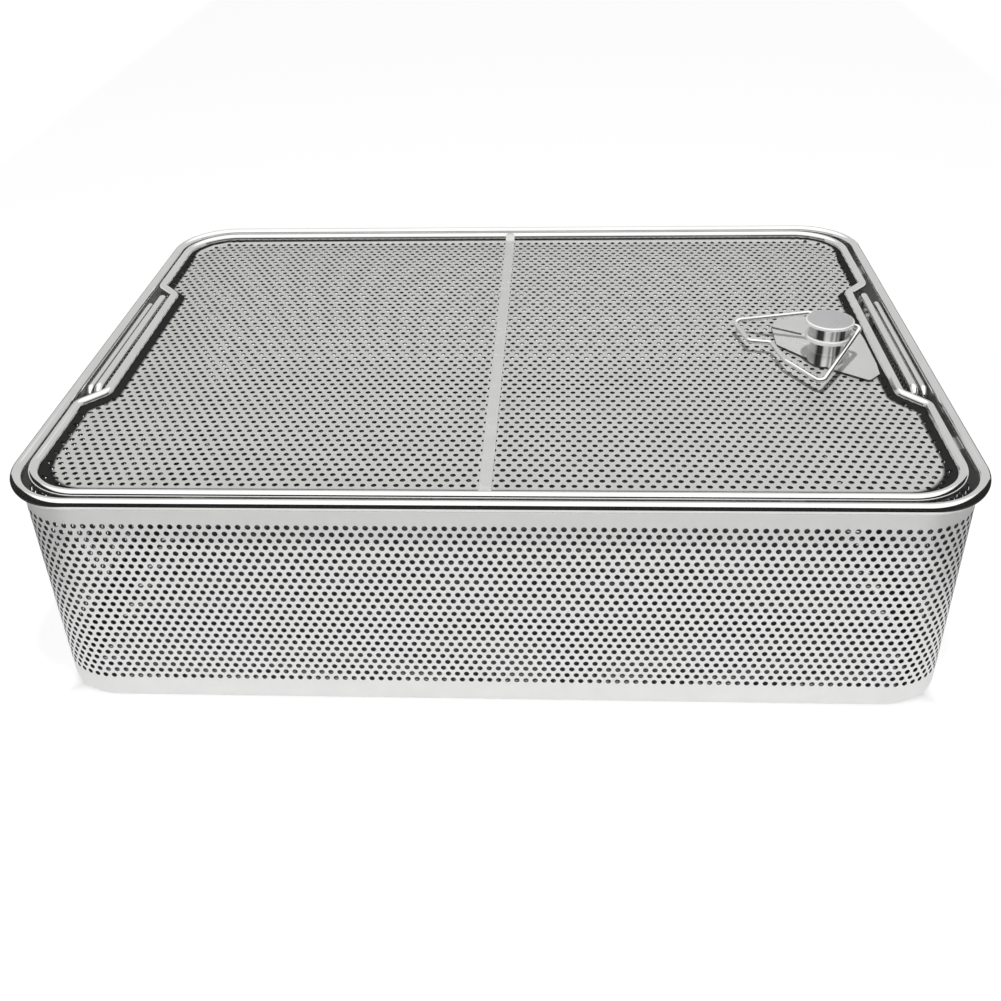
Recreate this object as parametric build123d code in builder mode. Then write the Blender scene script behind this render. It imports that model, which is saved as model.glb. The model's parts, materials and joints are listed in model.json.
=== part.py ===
from build123d import *
import os
from math import cos, radians, sin

# Perforated steel sterilization basket: lift-off lid, two drop handles and a lid lock.
# Millimetres, +Z up, origin under the middle of the floor, +X along the long side, front at -Y.

# Basket
basket_length = 500.0
basket_width = 380.0
basket_height = 134.0
rim_corner_radius = 40.0
rim_wire = 6.0
rim_seat = 1.4
sheet = 0.8
wall_inset = 4.8
floor_edge_radius = 4.0
floor_flange = 7.0

# Openwork: a plain grid of square openings for the fine perforation of the wall and the lid
opening = 19.0
opening_pitch = 36.0
opening_margin = 2.5

# Lid
lid_clearance = 3.0
lid_wire = 5.0
lid_sink = 1.0
lid_corner_radius = 32.0
jog_run = 14.0
jog_bend = 8.0
lid_joint_run = 12.0
slot_gap = 3.2
strip_width = 6.5
strip_thickness = 1.5
strip_x = -2.5
strip_joggle = 9.0

# Drop handles
handle_wire = 4.5
handle_span = 135.0
handle_bend = 5.0
handle_travel = 38.0
bar_spacing = 7.4
guide_bar_span = 125.0
guide_bar_drop = 3.6
guide_top_drop = 18.0
guide_height = 12.0
guide_web = 5.0
guide_eye_wall = 2.0
slide_fit = 0.3
collar_wall = 1.8
collar_height = 4.0
foot_height = 3.0

# Seats under the lid
lug_width = 12.0
lug_sheet = 1.5
lug_reach = 10.0
lug_leg = 9.0
lug_front_x = 150.0
lug_end_y = 118.0

# Lid lock
lock_inset = 34.0
lock_y = -24.0
plate_sheet = 1.5
housing_radius = 10.4
housing_height = 14.2
housing_step = 0.6
flange_radius = 12.6
flange_height = 1.7
neck_radius = 11.2
neck_height = 7.8
cap_radius = 13.4
cap_height = 2.0
cap_edge = 0.5
turn_gap = 0.3
shaft_diameter = 8.0
shaft_fit = 0.1
tongue_width = 12.0
tongue_hub_radius = 8.5
tongue_sheet = 2.0
tongue_overlap = 1.1
tongue_gap = 0.6
lock_turn = 65.0
washer_radius = 7.0
nut_flats = 13.0
nut_height = 5.0
shaft_tail = 0.6

# Wire bail on the lock: where it turns, and its far side from the knob's axis
bail_wire = 2.6
bail_fit = 0.1
bail_bend = 3.0
bail_rise = 3.5
bail_lift = 3.0
bail_heading = -38.8
bail_left_run = 20.4
bail_right_run = 13.5
bail_far_side = [(-49.9, 40.4), (-43.8, 11.7), (-31.1, 9.4), (-26.0, -15.5), (-10.3, -42.8)]
ear_width = 5.0
ear_wall = 1.3

# Lock plate outline, from the knob's axis
plate_corner = 3.0
plate_outline = [
    (-25.3, 20.0), (1.4, -12.5), (20.8, -27.0), (28.3, -19.0),
    (30.4, 9.0), (28.6, 37.0), (-2.0, 61.0), (-25.3, 53.0),
]

# Heights
rim_z = basket_height - rim_wire / 2
wall_top = rim_z - rim_seat
lid_wire_z = rim_z - lid_sink
panel_top = lid_wire_z - lid_wire / 2
panel_bottom = panel_top - sheet
guide_bar_z = rim_z - guide_bar_drop
guide_top = basket_height - guide_top_drop
guide_bottom = guide_top - guide_height
stop_top = guide_bottom - handle_travel
handle_foot = stop_top - foot_height
plate_top = panel_top + plate_sheet
housing_top = plate_top + housing_height
flange_bottom = housing_top + turn_gap
flange_top = flange_bottom + flange_height
neck_top = flange_top + neck_height
bail_z = flange_top + bail_rise
bail_low_z = lid_wire_z + lid_wire / 2 + bail_lift
tongue_top = guide_bar_z - handle_wire / 2 - tongue_gap
tongue_bottom = tongue_top - tongue_sheet
nut_bottom = tongue_bottom - nut_height

# Lines in plan
rim_axis_x = (basket_length - rim_wire) / 2
rim_axis_y = (basket_width - rim_wire) / 2
wall_outer_x = basket_length / 2 - wall_inset
wall_outer_y = basket_width / 2 - wall_inset
wall_inner_x = wall_outer_x - sheet
wall_inner_y = wall_outer_y - sheet
wall_corner = rim_corner_radius - wall_inset
lid_x = basket_length / 2 - rim_wire - lid_clearance - lid_wire / 2
lid_y = basket_width / 2 - rim_wire - lid_clearance - lid_wire / 2
guide_bar_x = wall_inner_x - handle_wire / 2
handle_x = guide_bar_x - bar_spacing
jog_x = handle_x - handle_wire / 2 - slot_gap - lid_wire / 2
jog_inner_y = handle_span / 2 + lid_wire / 2
jog_outer_y = jog_inner_y + jog_run
lid_joint_y = jog_outer_y + lid_joint_run
lock_x = jog_x - lock_inset
tongue_length = guide_bar_x + tongue_overlap - lock_x
slide_bore = handle_wire / 2 + slide_fit

# Fields of openings: flat stretches of the wall below the handle eyes, and the lid between its steps
wall_field_height = guide_bottom - floor_flange - 2 * opening_margin
wall_field_z = (guide_bottom + floor_flange) / 2
wall_fields = (
    ((1, 0, 0), wall_outer_x - wall_corner, wall_outer_y),
    ((0, 1, 0), wall_outer_y - wall_corner, wall_outer_x),
)
lid_field_x = jog_x - lid_wire / 2 - opening_margin
lid_field_y = lid_y - lid_wire / 2 - opening_margin
lock_keep = opening / 2 + housing_radius

# The lock's vertical axis, and the bail's hinge line behind the knob's neck
lock_axis = Axis((lock_x, lock_y, 0), (0, 0, 1))
lock_section = Plane(origin=(lock_x, lock_y, 0), x_dir=(1, 0, 0), z_dir=(0, -1, 0))
hinge_dir = Vector(cos(radians(bail_heading)), sin(radians(bail_heading)), 0)
hinge_back = Vector(-hinge_dir.Y, hinge_dir.X, 0)
hinge_point = Vector(lock_x, lock_y, bail_z) + hinge_back * (neck_radius + slide_fit + bail_wire / 2)

sides = (("left", -1), ("right", 1))
os.makedirs("parts", exist_ok=True)


def save(piece, name):
    piece.part.label = name
    export_step(piece.part, f"parts/{name}.step")


def grid(length, width):
    """Centres of the openings that fit on a field of this size, about its middle."""
    columns = int((length - opening) // opening_pitch) + 1
    rows = int((width - opening) // opening_pitch) + 1
    across = [(column - (columns - 1) / 2) * opening_pitch for column in range(columns)]
    along = [(row - (rows - 1) / 2) * opening_pitch for row in range(rows)]
    return [(x, y) for x in across for y in along]


def lid_side(side):
    """Corner points of the lid wire's step past one handle, from front to back on the right side."""
    steps = [(lid_x, jog_outer_y), (jog_x, jog_inner_y)]
    front = [(side * x, -side * y) for x, y in steps]
    back = [(side * x, side * y) for x, y in reversed(steps)]
    return front + back


def bent_wire(points, bends, diameter, close=False):
    """Round wire along straight runs joined by bends."""
    with BuildPart() as wire:
        with BuildLine() as path:
            FilletPolyline(*points, radius=bends, close=close)
        with BuildSketch(Plane(origin=path.line @ 0, z_dir=path.line % 0)):
            Circle(diameter / 2)
        sweep()
    return wire


# Basket: pressed floor pan, perforated wall band of four fields and four corners, round rim
with BuildPart() as basket_floor:
    with BuildSketch():
        RectangleRounded(2 * wall_outer_x, 2 * wall_outer_y, wall_corner)
    extrude(amount=floor_flange)
    fillet(basket_floor.faces().sort_by(Axis.Z)[0].edges(), radius=floor_edge_radius)
    offset(amount=-sheet, openings=basket_floor.faces().sort_by(Axis.Z)[-1])
save(basket_floor, "basket_floor")

with BuildPart() as basket_wall:
    with BuildSketch(Plane.XY.offset(floor_flange)):
        RectangleRounded(2 * wall_outer_x, 2 * wall_outer_y, wall_corner)
        RectangleRounded(2 * wall_inner_x, 2 * wall_inner_y, wall_corner - sheet, mode=Mode.SUBTRACT)
    extrude(amount=wall_top - floor_flange)
    for middle_dir, half_field, half_depth in wall_fields:
        field_plane = Plane(
            origin=(0, 0, wall_field_z),
            x_dir=middle_dir,
            z_dir=Vector(middle_dir).cross(Vector(0, 0, 1)),
        )
        with BuildSketch(field_plane):
            with Locations(*grid(2 * half_field, wall_field_height)):
                Rectangle(opening, opening)
        extrude(amount=half_depth, both=True, mode=Mode.SUBTRACT)
    for end in (-1, 1):
        split(bisect_by=Plane.YZ.offset(end * (wall_outer_x - wall_corner)), keep=Keep.BOTH)
        split(bisect_by=Plane.XZ.offset(end * (wall_outer_y - wall_corner)), keep=Keep.BOTH)
save(basket_wall, "basket_wall")

with BuildPart() as rim_tube:
    with BuildLine(Plane.XY.offset(rim_z)) as rim_path:
        FilletPolyline(
            (rim_axis_x, -rim_axis_y), (rim_axis_x, rim_axis_y),
            (-rim_axis_x, rim_axis_y), (-rim_axis_x, -rim_axis_y),
            radius=rim_corner_radius - rim_wire / 2, close=True,
        )
    with BuildSketch(Plane(origin=rim_path.line @ 0, z_dir=rim_path.line % 0)):
        Circle(rim_wire / 2)
    sweep()
    with BuildSketch(Plane.XY.offset(wall_top)):
        RectangleRounded(2 * wall_outer_x, 2 * wall_outer_y, wall_corner)
        RectangleRounded(
            2 * (wall_inner_x - rim_wire), 2 * (wall_inner_y - rim_wire),
            wall_corner - sheet - rim_wire, mode=Mode.SUBTRACT,
        )
    extrude(amount=-rim_wire, mode=Mode.SUBTRACT)
save(rim_tube, "rim_tube")

# Bent lugs inside the plain band, which the lid's edge rests on
with BuildPart() as lid_rest_lugs:
    seats = []
    for across in (-1, 1):
        for along in (-1, 1):
            seats.append(((along * lug_front_x, across * wall_inner_y), (0, -across, 0)))
            seats.append(((across * wall_inner_x, along * lug_end_y), (-across, 0, 0)))
    for (seat_x, seat_y), inward in seats:
        lug_plane = Plane(
            origin=(seat_x, seat_y, panel_bottom),
            x_dir=inward,
            z_dir=Vector(inward).cross(Vector(0, 0, 1)),
        )
        with BuildSketch(lug_plane):
            with BuildLine():
                Polyline(
                    (0, 0), (lug_reach, 0), (lug_reach, -lug_sheet), (lug_sheet, -lug_sheet),
                    (lug_sheet, -lug_leg), (0, -lug_leg), close=True,
                )
            make_face()
        extrude(amount=lug_width / 2, both=True)
save(lid_rest_lugs, "lid_rest_lugs")

for side_name, side in sides:
    # Fixed bar against the wall, its ends turned down
    guide_bar = bent_wire(
        [
            (side * guide_bar_x, -guide_bar_span / 2, guide_top + handle_wire / 2),
            (side * guide_bar_x, -guide_bar_span / 2, guide_bar_z),
            (side * guide_bar_x, guide_bar_span / 2, guide_bar_z),
            (side * guide_bar_x, guide_bar_span / 2, guide_top + handle_wire / 2),
        ],
        handle_bend, handle_wire,
    )
    save(guide_bar, f"guide_bar_{side_name}")

    # Eyes on the wall that the handle's legs slide through
    leg_spots = [(side * handle_x, -handle_span / 2), (side * handle_x, handle_span / 2)]
    web = wall_inner_x - handle_x
    with BuildPart() as handle_guides:
        with BuildSketch(Plane.XY.offset(guide_bottom)):
            with Locations(*leg_spots):
                Circle(slide_bore + guide_eye_wall)
                with Locations((side * web / 2, 0)):
                    Rectangle(web, guide_web)
            with Locations(*leg_spots):
                Circle(slide_bore, mode=Mode.SUBTRACT)
        extrude(amount=guide_height)
    save(handle_guides, f"handle_guides_{side_name}")

    # Drop handle: grip and two legs in one wire, each leg ending in a flat head that stops the lift
    with BuildPart() as handle:
        handle_ends = [
            (side * handle_x, -handle_span / 2, handle_foot),
            (side * handle_x, -handle_span / 2, rim_z),
            (side * handle_x, handle_span / 2, rim_z),
            (side * handle_x, handle_span / 2, handle_foot),
        ]
        add(bent_wire(handle_ends, handle_bend, handle_wire).part)
        with BuildSketch(Plane.XY.offset(handle_foot)):
            with Locations(*leg_spots):
                Circle(handle_wire / 2 + collar_wall)
        extrude(amount=foot_height)
    save(handle, f"handle_{side_name}")

    # Collars on the legs, which rest on the eyes
    with BuildPart() as handle_collars:
        with BuildSketch(Plane.XY.offset(guide_top)):
            with Locations(*leg_spots):
                Circle(handle_wire / 2 + collar_wall)
                Circle(handle_wire / 2, mode=Mode.SUBTRACT)
        extrude(amount=collar_height)
    save(handle_collars, f"handle_collars_{side_name}")

# Lid: perforated sheet in three strips under a wire frame that steps in past the handles
with BuildPart() as lid_panel:
    with BuildSketch(Plane.XY.offset(panel_bottom)):
        with BuildLine():
            corner_points = []
            corner_bends = []
            for side_name, side in sides:
                corner_points += [(side * lid_x, -side * lid_y)]
                corner_points += [*lid_side(side), (side * lid_x, side * lid_y)]
                corner_bends += [lid_corner_radius] + [jog_bend] * 4 + [lid_corner_radius]
            FilletPolyline(*corner_points, radius=corner_bends, close=True)
        make_face()
        with Locations((lock_x, lock_y)):
            Circle(shaft_diameter / 2 + turn_gap, mode=Mode.SUBTRACT)
        lid_openings = [
            (x, y) for x, y in grid(2 * lid_field_x, 2 * lid_field_y)
            if abs(x - lock_x) > lock_keep or abs(y - lock_y) > lock_keep
        ]
        with Locations(*lid_openings):
            Rectangle(opening, opening, mode=Mode.SUBTRACT)
    extrude(amount=sheet)
    for end in (-1, 1):
        split(bisect_by=Plane.XZ.offset(end * jog_inner_y), keep=Keep.BOTH)
save(lid_panel, "lid_panel")

# The frame is four bent lengths, butted on the straight runs beside the steps
for side_name, side in sides:
    step = [(side * lid_x, -side * lid_joint_y), *lid_side(side), (side * lid_x, side * lid_joint_y)]
    step_wire = bent_wire([(x, y, lid_wire_z) for x, y in step], jog_bend, lid_wire)
    save(step_wire, f"lid_wire_{side_name}")

for end_name, end in (("front", -1), ("back", 1)):
    end_wire = bent_wire(
        [
            (-lid_x, end * lid_joint_y, lid_wire_z),
            (-lid_x, end * lid_y, lid_wire_z),
            (lid_x, end * lid_y, lid_wire_z),
            (lid_x, end * lid_joint_y, lid_wire_z),
        ],
        lid_corner_radius, lid_wire,
    )
    save(end_wire, f"lid_wire_{end_name}")

strip_end = lid_y - lid_wire / 2
flat_end = strip_end - strip_joggle
rise_end = flat_end - 2 * strip_thickness
with BuildPart() as lid_stiffener:
    with BuildSketch(Plane.YZ.offset(strip_x)):
        with BuildLine():
            Polyline(
                (-strip_end, panel_top), (-flat_end, panel_top), (-rise_end, panel_top + sheet),
                (rise_end, panel_top + sheet), (flat_end, panel_top), (strip_end, panel_top),
                (strip_end, panel_top + strip_thickness), (flat_end, panel_top + strip_thickness),
                (rise_end, panel_top + sheet + strip_thickness),
                (-rise_end, panel_top + sheet + strip_thickness),
                (-flat_end, panel_top + strip_thickness), (-strip_end, panel_top + strip_thickness),
                close=True,
            )
        make_face()
    extrude(amount=strip_width / 2, both=True)
save(lid_stiffener, "lid_stiffener")

# Lock, fixed half: plate on the lid and the turned housing on it
with BuildPart() as lock_plate:
    with BuildSketch(Plane(origin=(lock_x, lock_y, panel_top))):
        with BuildLine():
            FilletPolyline(*plate_outline, radius=plate_corner, close=True)
        make_face()
        Circle(shaft_diameter / 2 + turn_gap, mode=Mode.SUBTRACT)
    extrude(amount=plate_sheet)
save(lock_plate, "lock_plate")

with BuildPart() as lock_housing:
    with BuildSketch(lock_section):
        with BuildLine():
            Polyline(
                (shaft_diameter / 2 + shaft_fit, plate_top),
                (housing_radius, plate_top),
                (housing_radius, plate_top + housing_height / 2),
                (housing_radius - housing_step, plate_top + housing_height / 2 + housing_step),
                (housing_radius - housing_step, housing_top),
                (shaft_diameter / 2 + shaft_fit, housing_top),
                close=True,
            )
        make_face()
    revolve(axis=lock_axis)
save(lock_housing, "lock_housing")

# Lock, turning half: knob, cap, shaft, tongue, washer and nut
ear_radius = bail_wire / 2 + bail_fit + ear_wall
with BuildPart() as lock_knob:
    with BuildSketch(lock_section):
        with BuildLine():
            Polyline(
                (0, flange_bottom), (flange_radius, flange_bottom), (flange_radius, flange_top),
                (neck_radius, flange_top), (neck_radius, neck_top), (0, neck_top), close=True,
            )
        make_face()
    revolve(axis=lock_axis)
    with BuildSketch(Plane(origin=hinge_point, x_dir=hinge_back, z_dir=hinge_dir)):
        Circle(ear_radius)
        with Locations((-ear_radius, 0)):
            Rectangle(2 * ear_radius, 2 * ear_radius)
    extrude(amount=ear_width / 2, both=True)
    with BuildSketch(Plane(origin=hinge_point, x_dir=hinge_back, z_dir=hinge_dir)):
        Circle(bail_wire / 2 + bail_fit)
    extrude(amount=ear_width, both=True, mode=Mode.SUBTRACT)
save(lock_knob, "lock_knob")

with BuildPart() as lock_cap:
    with BuildSketch(Plane(origin=(lock_x, lock_y, neck_top))):
        Circle(cap_radius)
    extrude(amount=cap_height)
    chamfer(lock_cap.edges().sort_by(Axis.Z)[-1], length=cap_edge)
save(lock_cap, "lock_cap")

with BuildPart() as lock_shaft:
    with BuildSketch(Plane(origin=(lock_x, lock_y, nut_bottom - shaft_tail))):
        Circle(shaft_diameter / 2)
    extrude(amount=flange_bottom - nut_bottom + shaft_tail)
save(lock_shaft, "lock_shaft")

tip_reach = tongue_length - tongue_width / 2
with BuildPart() as lock_tongue:
    with BuildSketch(Plane(origin=(lock_x, lock_y, tongue_bottom)).rotated((0, 0, -lock_turn))):
        Circle(tongue_hub_radius)
        with Locations((tip_reach, 0)):
            Circle(tongue_width / 2)
        make_hull()
        Circle(shaft_diameter / 2, mode=Mode.SUBTRACT)
    extrude(amount=tongue_sheet)
save(lock_tongue, "lock_tongue")

with BuildPart() as lock_washer:
    with BuildSketch(Plane(origin=(lock_x, lock_y, tongue_top))):
        Circle(washer_radius)
        Circle(shaft_diameter / 2, mode=Mode.SUBTRACT)
    extrude(amount=panel_bottom - turn_gap - tongue_top)
save(lock_washer, "lock_washer")

with BuildPart() as lock_nut:
    with BuildSketch(Plane(origin=(lock_x, lock_y, nut_bottom))):
        RegularPolygon(nut_flats / 2, 6, major_radius=False)
        Circle(shaft_diameter / 2, mode=Mode.SUBTRACT)
    extrude(amount=nut_height)
save(lock_nut, "lock_nut")

# Wire bail hinged behind the knob's neck, its far side lying over the lid
far_side = [Vector(lock_x + x, lock_y + y, bail_low_z) for x, y in bail_far_side]
left_end = hinge_point - hinge_dir * bail_left_run
right_end = hinge_point + hinge_dir * bail_right_run
seam = (far_side[-1] + far_side[-2]) / 2

with BuildPart() as lock_bail:
    add(bent_wire([hinge_point, left_end, *far_side[:-1], seam], bail_bend, bail_wire).part)
    add(bent_wire([seam, far_side[-1], right_end, hinge_point], bail_bend, bail_wire).part)
save(lock_bail, "lock_bail")
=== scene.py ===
import json
from math import cos, pi, radians, sin, sqrt

import bpy
import numpy as np
from mathutils import Matrix, Vector
from mathutils.geometry import delaunay_2d_cdt
from mathutils.kdtree import KDTree


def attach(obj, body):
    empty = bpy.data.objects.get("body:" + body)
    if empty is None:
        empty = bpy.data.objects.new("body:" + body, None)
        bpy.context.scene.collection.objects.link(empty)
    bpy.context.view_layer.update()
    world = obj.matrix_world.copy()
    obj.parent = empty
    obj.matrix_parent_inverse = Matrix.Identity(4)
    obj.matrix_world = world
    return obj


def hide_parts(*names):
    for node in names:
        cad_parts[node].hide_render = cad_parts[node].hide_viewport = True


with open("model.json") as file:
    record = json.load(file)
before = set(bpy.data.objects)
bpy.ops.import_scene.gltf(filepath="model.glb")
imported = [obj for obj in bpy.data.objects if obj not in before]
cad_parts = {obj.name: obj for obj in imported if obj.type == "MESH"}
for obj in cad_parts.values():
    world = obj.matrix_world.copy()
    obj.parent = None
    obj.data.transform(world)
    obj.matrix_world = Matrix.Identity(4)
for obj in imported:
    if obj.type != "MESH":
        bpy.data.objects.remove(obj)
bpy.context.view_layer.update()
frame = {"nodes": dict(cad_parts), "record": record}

MM = 0.001

# Sizes in millimetres, those of the solids or, where the photo asks for it, fitted close to them.
# A hair's gap keeps two faces out of one plane.
RIM_X, RIM_Y, RIM_Z, RIM_R, RIM_CORNER = 247.0, 187.0, 131.0, 3.0, 37.0
WALL_X, WALL_Y, WALL_CORNER = 245.2, 185.2, 35.2
SHEET = 0.8
HAIR = 0.02
HEM_LOW, HEM_OUT, HEM_RISE, HEM_POINTS = 124.8, 0.45, 0.1, 480
WALL_BOTTOM, WALL_TOP = 7.0, 129.6
FLOOR_EDGE = 4.0
LID_X, LID_Y, LID_CORNER = 239.1, 177.4, 32.0
LID_SHIFT = Vector((-1.0, 0.0, 0.0))
LID_Z, LID_R = 130.4, 2.9
JOG_X, JOG_IN, JOG_OUT, JOG_BEND = 226.8, 70.0, 84.0, 8.0
PANEL_TOP = 127.5
PANEL_BOTTOM = PANEL_TOP - SHEET
HANDLE_X, HANDLE_Y, HANDLE_R, HANDLE_BEND = 234.75, 67.5, 2.25, 5.0
BAR_X, BAR_Y, BAR_Z, BAR_FOOT = 242.15, 62.5, 127.4, 118.25
HANDLE_FOOT, FOOT_HEIGHT, FOOT_R, FOOT_EDGE = 63.0, 2.8, 4.05, 0.4

# The strip, where its front end is set down, and how its back end rises and tapers
STRIP_X, STRIP_W, STRIP_T = -2.5, 6.5, 1.5
STRIP_SET, STRIP_ARCH, STRIP_STEP = 6.0, 0.9, 0.9
STRIP_RISE_RUN, STRIP_OVER = 5.0, 0.25
STRIP_TAPER, STRIP_TAPER_RUN = 0.45, 1.0
STRIP_EDGE_FROM, STRIP_EDGE_DROP = 0.8, 0.35
STRIP_END_RUN = 12.0

# The lock, its heights and radii, and the bail's corners from the knob's axis
LOCK = Vector((192.8, -24.0, 0.0))
PLATE_TOP, PLATE_BEND, PLATE_STEP = 129.0, 2.0, 1.5
PLATE_OUTLINE = [
    (-25.3, 20.0), (1.4, -12.5), (20.8, -27.0), (28.3, -19.0),
    (30.4, 9.0), (28.6, 37.0), (-2.5, 62.0), (-21.0, 55.5), (-24.8, 44.5),
]
CREASE_START, CREASE_END, CREASE_HALF, CREASE_DEPTH = (-24.6, 44.3), (-8.0, 34.5), 1.3, 1.3
HOUSING_R, HOUSING_STEP, HOUSING_MIDDLE, HOUSING_TOP = 10.4, 0.6, 136.1, 143.2
FLANGE_R, FLANGE_BOTTOM, FLANGE_TOP = 13.3, 143.4, 146.0
NECK_R, NECK_TOP = 11.5, 153.0
CAP_R, CAP_TOP = 14.0, 155.0
DISC_CHAMFER, DISC_ROUND = 0.3, 0.9
SHAFT_BORE, LID_BORE = 4.1, 4.3
BAIL_R, BAIL_BORE, BAIL_BEND, BAIL_Z, BAIL_LOW = 1.5, 1.85, 3.0, 148.7, 135.5
BAIL_BACK, BAIL_HEADING, BAIL_LEFT, BAIL_RIGHT = 12.9, -38.8, 20.4, 13.5
BAIL_FAR = [(-49.9, 40.4), (-43.8, 11.7), (-31.1, 9.4), (-26.0, -15.5), (-10.3, -42.8)]
EAR_R, EAR_HALF = 2.7, 2.5
PIN_X, PIN_Y, PIN_Z, PIN_R = 13.0, -1.0, 147.4, 1.1

# The holes, and the plain margins round them
HOLE_R = 1.5
CELL_SIDES, HOLE_SIDES = 6, 12
CELL_POINTS = CELL_SIDES + HOLE_SIDES
WALL_PITCH, WALL_ROW_GAP, WALL_ROWS, WALL_ROW_0 = 4.945, 4.165, 25, 16.3
LID_PITCH, LID_ROW_GAP, LID_ROW_PHASE, LID_ROWS_HALF = 5.66, 4.97, 0.9, 36
LID_ROW_SCALE = LID_ROW_GAP / (LID_PITCH * sqrt(3) / 2)
LID_MARGIN, LID_FRONT_MARGIN, LID_LOCK_KEEP = 4.6, 11.0, 10.0
FLOOR_MARGIN = 7.0

# The lid sheet's turned-up edge, and how wide the painted shade along it is
LID_DISH, LID_DISH_RISE, LID_DISH_POWER = 7.5, 2.3, 1.7
EDGE_FRONT, EDGE_SIDE, EDGE_BACK, EDGE_TURN, EDGE_MOST = 11.2, 7.4, 4.5, 20.0, 2.0


# Meshes

def new_object(name, points, faces, smooth_angle=35.0, looks=None):
    """Object from points in millimetres and arrays of faces, with a material number for each array."""
    points = np.asarray(points, float) * MM
    loops = np.concatenate([np.asarray(f, np.int32).ravel() for f in faces])
    totals = np.concatenate([np.full(len(f), np.asarray(f).shape[1], np.int32) for f in faces])
    starts = np.concatenate([[0], np.cumsum(totals)[:-1]]).astype(np.int32)
    mesh = bpy.data.meshes.new(name)
    mesh.vertices.add(len(points))
    mesh.vertices.foreach_set("co", points.ravel())
    mesh.loops.add(len(loops))
    mesh.loops.foreach_set("vertex_index", loops)
    mesh.polygons.add(len(totals))
    mesh.polygons.foreach_set("loop_start", starts)
    mesh.polygons.foreach_set("loop_total", totals)
    if looks:
        numbers = [np.full(len(f), look, np.int32) for f, look in zip(faces, looks)]
        mesh.polygons.foreach_set("material_index", np.concatenate(numbers))
    mesh.update(calc_edges=True)
    mesh.polygons.foreach_set("use_smooth", np.ones(len(mesh.polygons), bool))
    mesh.set_sharp_from_angle(angle=radians(smooth_angle))
    piece = bpy.data.objects.new(name, mesh)
    bpy.context.scene.collection.objects.link(piece)
    return piece


def dress(piece, body, slot, materials, *nodes):
    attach(piece, body)
    if nodes:
        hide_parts(*nodes)
    for material in materials:
        piece.data.materials.append(material)
    return piece


# Paths

def rounded(points, bends, closed, step=6.0):
    """Points along straight runs joined by arcs, with the arcs about step degrees apart."""
    points = [Vector(p) for p in points]
    n = len(points)
    if not hasattr(bends, "__len__"):
        bends = [bends] * n
    path = []
    for i, p in enumerate(points):
        if not closed and i in (0, n - 1):
            path.append(p)
            continue
        into = (p - points[i - 1]).normalized()
        out = (points[(i + 1) % n] - p).normalized()
        turn = into.angle(out)
        reach = bends[i] * np.tan(turn / 2)
        normal = (out - into * out.dot(into)).normalized()
        centre = p - into * reach + normal * bends[i]
        count = max(2, int(np.ceil(np.degrees(turn) / step)))
        for k in range(count + 1):
            a = turn * k / count
            path.append(centre - normal * bends[i] * cos(a) + into * bends[i] * sin(a))
    return path


def subdivided(path, longest, closed):
    """Path with straight runs cut so that no piece is longer than asked."""
    result = []
    n = len(path)
    for i in range(n if closed else n - 1):
        a, b = path[i], path[(i + 1) % n]
        count = max(1, int(np.ceil((b - a).length / longest)))
        result += [a.lerp(b, k / count) for k in range(count)]
    if not closed:
        result.append(path[-1])
    return result


def tube_mesh(path, radius, closed, sides=28):
    """Points and faces of a round wire along a path."""
    n = len(path)
    tangents = []
    for i in range(n):
        a = path[(i - 1) % n] if closed or i > 0 else path[i]
        b = path[(i + 1) % n] if closed or i < n - 1 else path[i]
        tangents.append((b - a).normalized())
    up = Vector((0, 0, 1))
    if abs(tangents[0].z) > 0.9:
        up = Vector((0, 1, 0))
    side = tangents[0].cross(up).normalized()
    sides_at = []
    for t in tangents:
        side = (side - t * side.dot(t)).normalized()
        sides_at.append(side.copy())
    twist = 0.0
    if closed:
        last = (sides_at[-1] - tangents[0] * sides_at[-1].dot(tangents[0])).normalized()
        twist = last.angle(sides_at[0])
        if last.cross(sides_at[0]).dot(tangents[0]) < 0:
            twist = -twist
    rings = []
    for i in range(n):
        t = tangents[i]
        s = Matrix.Rotation(twist * i / n, 3, t) @ sides_at[i]
        u = t.cross(s)
        stretch = 1.0
        if closed or 0 < i < n - 1:
            half = (path[(i + 1) % n] - path[i]).angle(path[i] - path[i - 1]) / 2
            stretch = 1.0 / cos(half)
        for k in range(sides):
            a = 2 * pi * k / sides
            rings.append(path[i] + (s * cos(a) + u * sin(a)) * radius)
    quads = []
    for i in range(n if closed else n - 1):
        j = (i + 1) % n
        for k in range(sides):
            m = (k + 1) % sides
            quads.append((i * sides + k, i * sides + m, j * sides + m, j * sides + k))
    faces = [np.array(quads)]
    if not closed:
        faces.append(np.array([list(range(sides))[::-1], [(n - 1) * sides + k for k in range(sides)]]))
    return [tuple(p) for p in rings], faces


def wire(name, points, bends, radius, closed, longest=8.0, sides=28, step=6.0):
    path = subdivided(rounded(points, bends, closed, step), longest, closed)
    rings, faces = tube_mesh(path, radius, closed, sides)
    return new_object(name, rings, faces)


def revolved(name, profile, centre, segments=96, smooth_angle=35.0, looks=None):
    """Turned piece: profile points (radius, height) from the bottom of the axis to its top."""
    points = []
    quads = []
    caps = []
    rings = []
    for r, z in profile:
        if r < 1e-6:
            rings.append([len(points)])
            points.append((centre[0], centre[1], z))
            continue
        ring = []
        for k in range(segments):
            a = 2 * pi * k / segments
            ring.append(len(points))
            points.append((centre[0] + r * cos(a), centre[1] + r * sin(a), z))
        rings.append(ring)
    for low, high in zip(rings, rings[1:]):
        for k in range(segments):
            m = (k + 1) % segments
            if len(low) == 1:
                caps.append((low[0], high[m], high[k]))
            elif len(high) == 1:
                caps.append((low[k], low[m], high[0]))
            else:
                quads.append((low[k], low[m], high[m], high[k]))
    faces = []
    if quads:
        faces.append(np.array(quads))
    if caps:
        faces.append(np.array(caps))
    return new_object(name, points, faces, smooth_angle, looks)


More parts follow.
